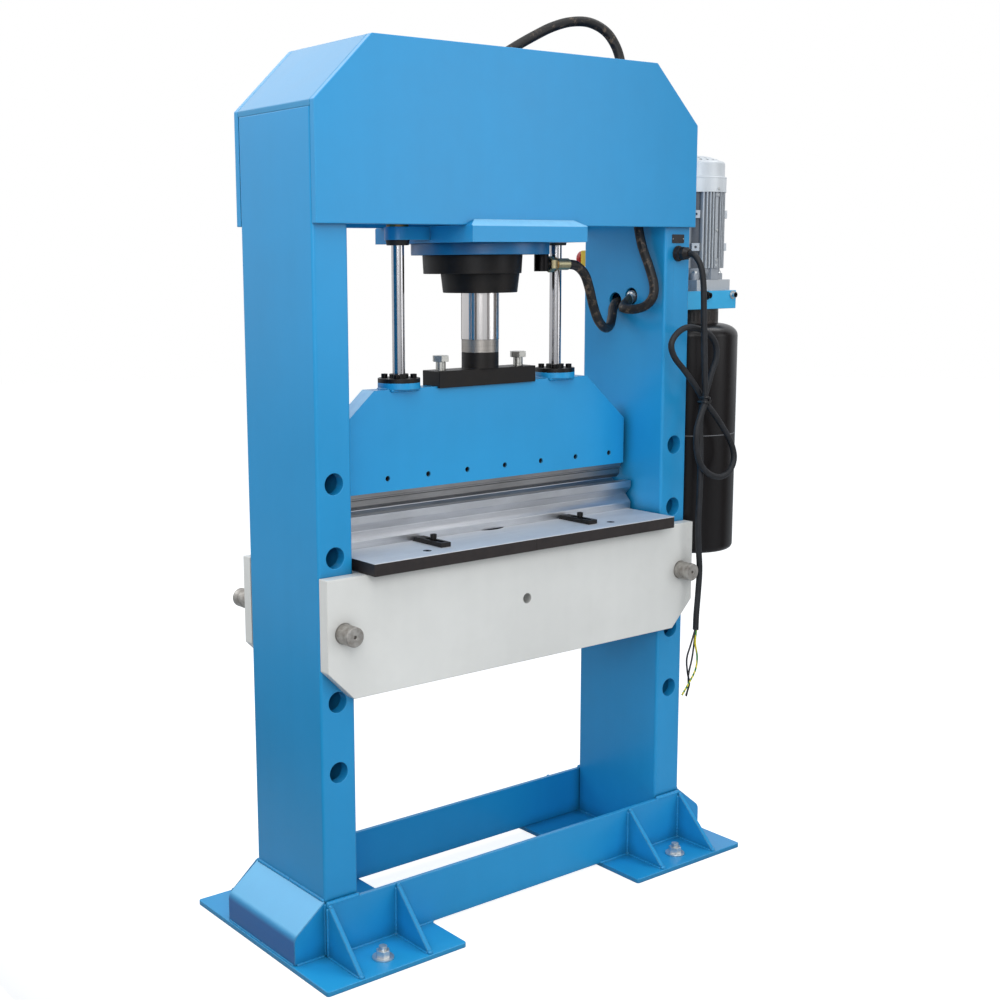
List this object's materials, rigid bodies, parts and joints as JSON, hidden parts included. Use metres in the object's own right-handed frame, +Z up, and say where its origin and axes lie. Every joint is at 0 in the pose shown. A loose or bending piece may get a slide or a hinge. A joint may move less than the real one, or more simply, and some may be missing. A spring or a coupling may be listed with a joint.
{
  "type": "hydraulic press brake",
  "caption": "Free-standing press brake: two hollow columns, plated head, ram on one cylinder and guide rods, pinned bed with V-block die, side power pack.",
  "frame": {"origin": "on the floor, under the middle of the machine's overall width and depth", "axes": "+X to the right seen from the front, +Y from the front to the back, +Z up"},
  "size_m": [1.246, 0.488, 1.8074],
  "materials": {
    "blue_paint": "gloss enamel, sky blue",
    "pale_paint": "pale grey enamel",
    "ground_steel": "ground, lightly oiled",
    "bright_steel": "bright milled",
    "chrome": "hard chrome",
    "black_steel": "blackened",
    "dark_screw": "black oxide",
    "zinc": "zinc plated",
    "motor_grey": "light grey paint on cast aluminium",
    "aluminium": "milled",
    "tank_black": "satin black",
    "hose_rubber": "matt",
    "seal_rubber": "matt",
    "bronze": "turned bronze",
    "winding": "varnished iron and copper",
    "black_plastic": "moulded nylon",
    "yellow_plastic": "moulded",
    "red_plastic": "moulded"
  },
  "bodies": {
    "frame": {"column_left": "blue_paint", "column_right": "blue_paint", "head_plate_front": "blue_paint", "head_plate_rear": "blue_paint", "head_covers": "blue_paint", "cylinder_mount": "blue_paint", "guide_bushes": "bronze", "wiper_rings": "seal_rubber", "base_plate_left": "blue_paint", "base_plate_right": "blue_paint", "tie_beam_front": "blue_paint", "tie_beam_rear": "blue_paint", "foot_stiffeners": "blue_paint", "anchor_bolts": "zinc", "cylinder_barrel": "blue_paint", "cylinder_cap": "blue_paint", "rod_gland": "black_steel", "gland_nut": "black_steel", "bed_beam_front": "pale_paint", "bed_beam_rear": "pale_paint", "table_left": "ground_steel", "table_right": "ground_steel", "table_screws": "dark_screw", "die_block": "ground_steel", "pack_bracket": "blue_paint", "bracket_bolts": "dark_screw", "manifold": "aluminium", "oil_pipes": "zinc", "tank": "tank_black", "tank_neck": "tank_black", "pump_body": "aluminium", "end_bell": "motor_grey", "motor_housing": "motor_grey", "stator": "winding", "motor_bearings": "ground_steel", "fan_cowl": "motor_grey", "top_hose": "hose_rubber", "lower_hose": "hose_rubber", "hose_fittings": "zinc", "power_cable": "hose_rubber", "cable_gland": "black_plastic", "estop_box": "yellow_plastic"},
    "ram": {"piston": "ground_steel", "piston_rod": "chrome", "clamp_bar": "black_steel", "ram_plate": "blue_paint", "guide_rods": "chrome", "guide_flanges": "black_steel", "ram_screws": "dark_screw", "punch": "bright_steel", "punch_screws": "dark_screw"},
    "left_pin": {"bed_pin_left": "ground_steel"},
    "right_pin": {"bed_pin_right": "ground_steel"},
    "left_stop": {"stop_left": "black_steel"},
    "right_stop": {"stop_right": "black_steel"},
    "button": {"estop_button": "red_plastic"},
    "idler": {"driven_gear": "ground_steel"},
    "rotor": {"rotor_shaft": "ground_steel", "drive_gear": "ground_steel", "fan": "aluminium"}
  },
  "joints": [
    {"name": "ram_slide", "type": "slide", "parent": "frame", "child": "ram", "axis": [0, 0, 1], "range_m": [-0.0205, 0.09]},
    {"name": "left_pin_slide", "type": "slide", "parent": "frame", "child": "left_pin", "axis": [0, -1, 0], "range_m": [0, 0.3]},
    {"name": "right_pin_slide", "type": "slide", "parent": "frame", "child": "right_pin", "axis": [0, -1, 0], "range_m": [0, 0.3]},
    {"name": "left_stop_slide", "type": "slide", "parent": "frame", "child": "left_stop", "axis": [0, -1, 0], "range_m": [0, 0.02]},
    {"name": "right_stop_slide", "type": "slide", "parent": "frame", "child": "right_stop", "axis": [0, -1, 0], "range_m": [0, 0.02]},
    {"name": "button_press", "type": "slide", "parent": "frame", "child": "button", "axis": [0, -1, 0], "range_m": [0, 0.003], "stiffness_N_per_m": 600},
    {"name": "rotor_spin", "type": "hinge", "parent": "frame", "child": "rotor", "pos_m": [0.522, -0.038, 1.3], "axis": [0, 0, 1], "continuous": true},
    {"name": "idler_spin", "type": "hinge", "parent": "frame", "child": "idler", "pos_m": [0.5523, -0.038, 1.17], "axis": [0, 0, 1], "continuous": true}
  ],
  "couplings": [
    {"joint": "idler_spin", "follows": "rotor_spin", "ratio": -1}
  ]
}
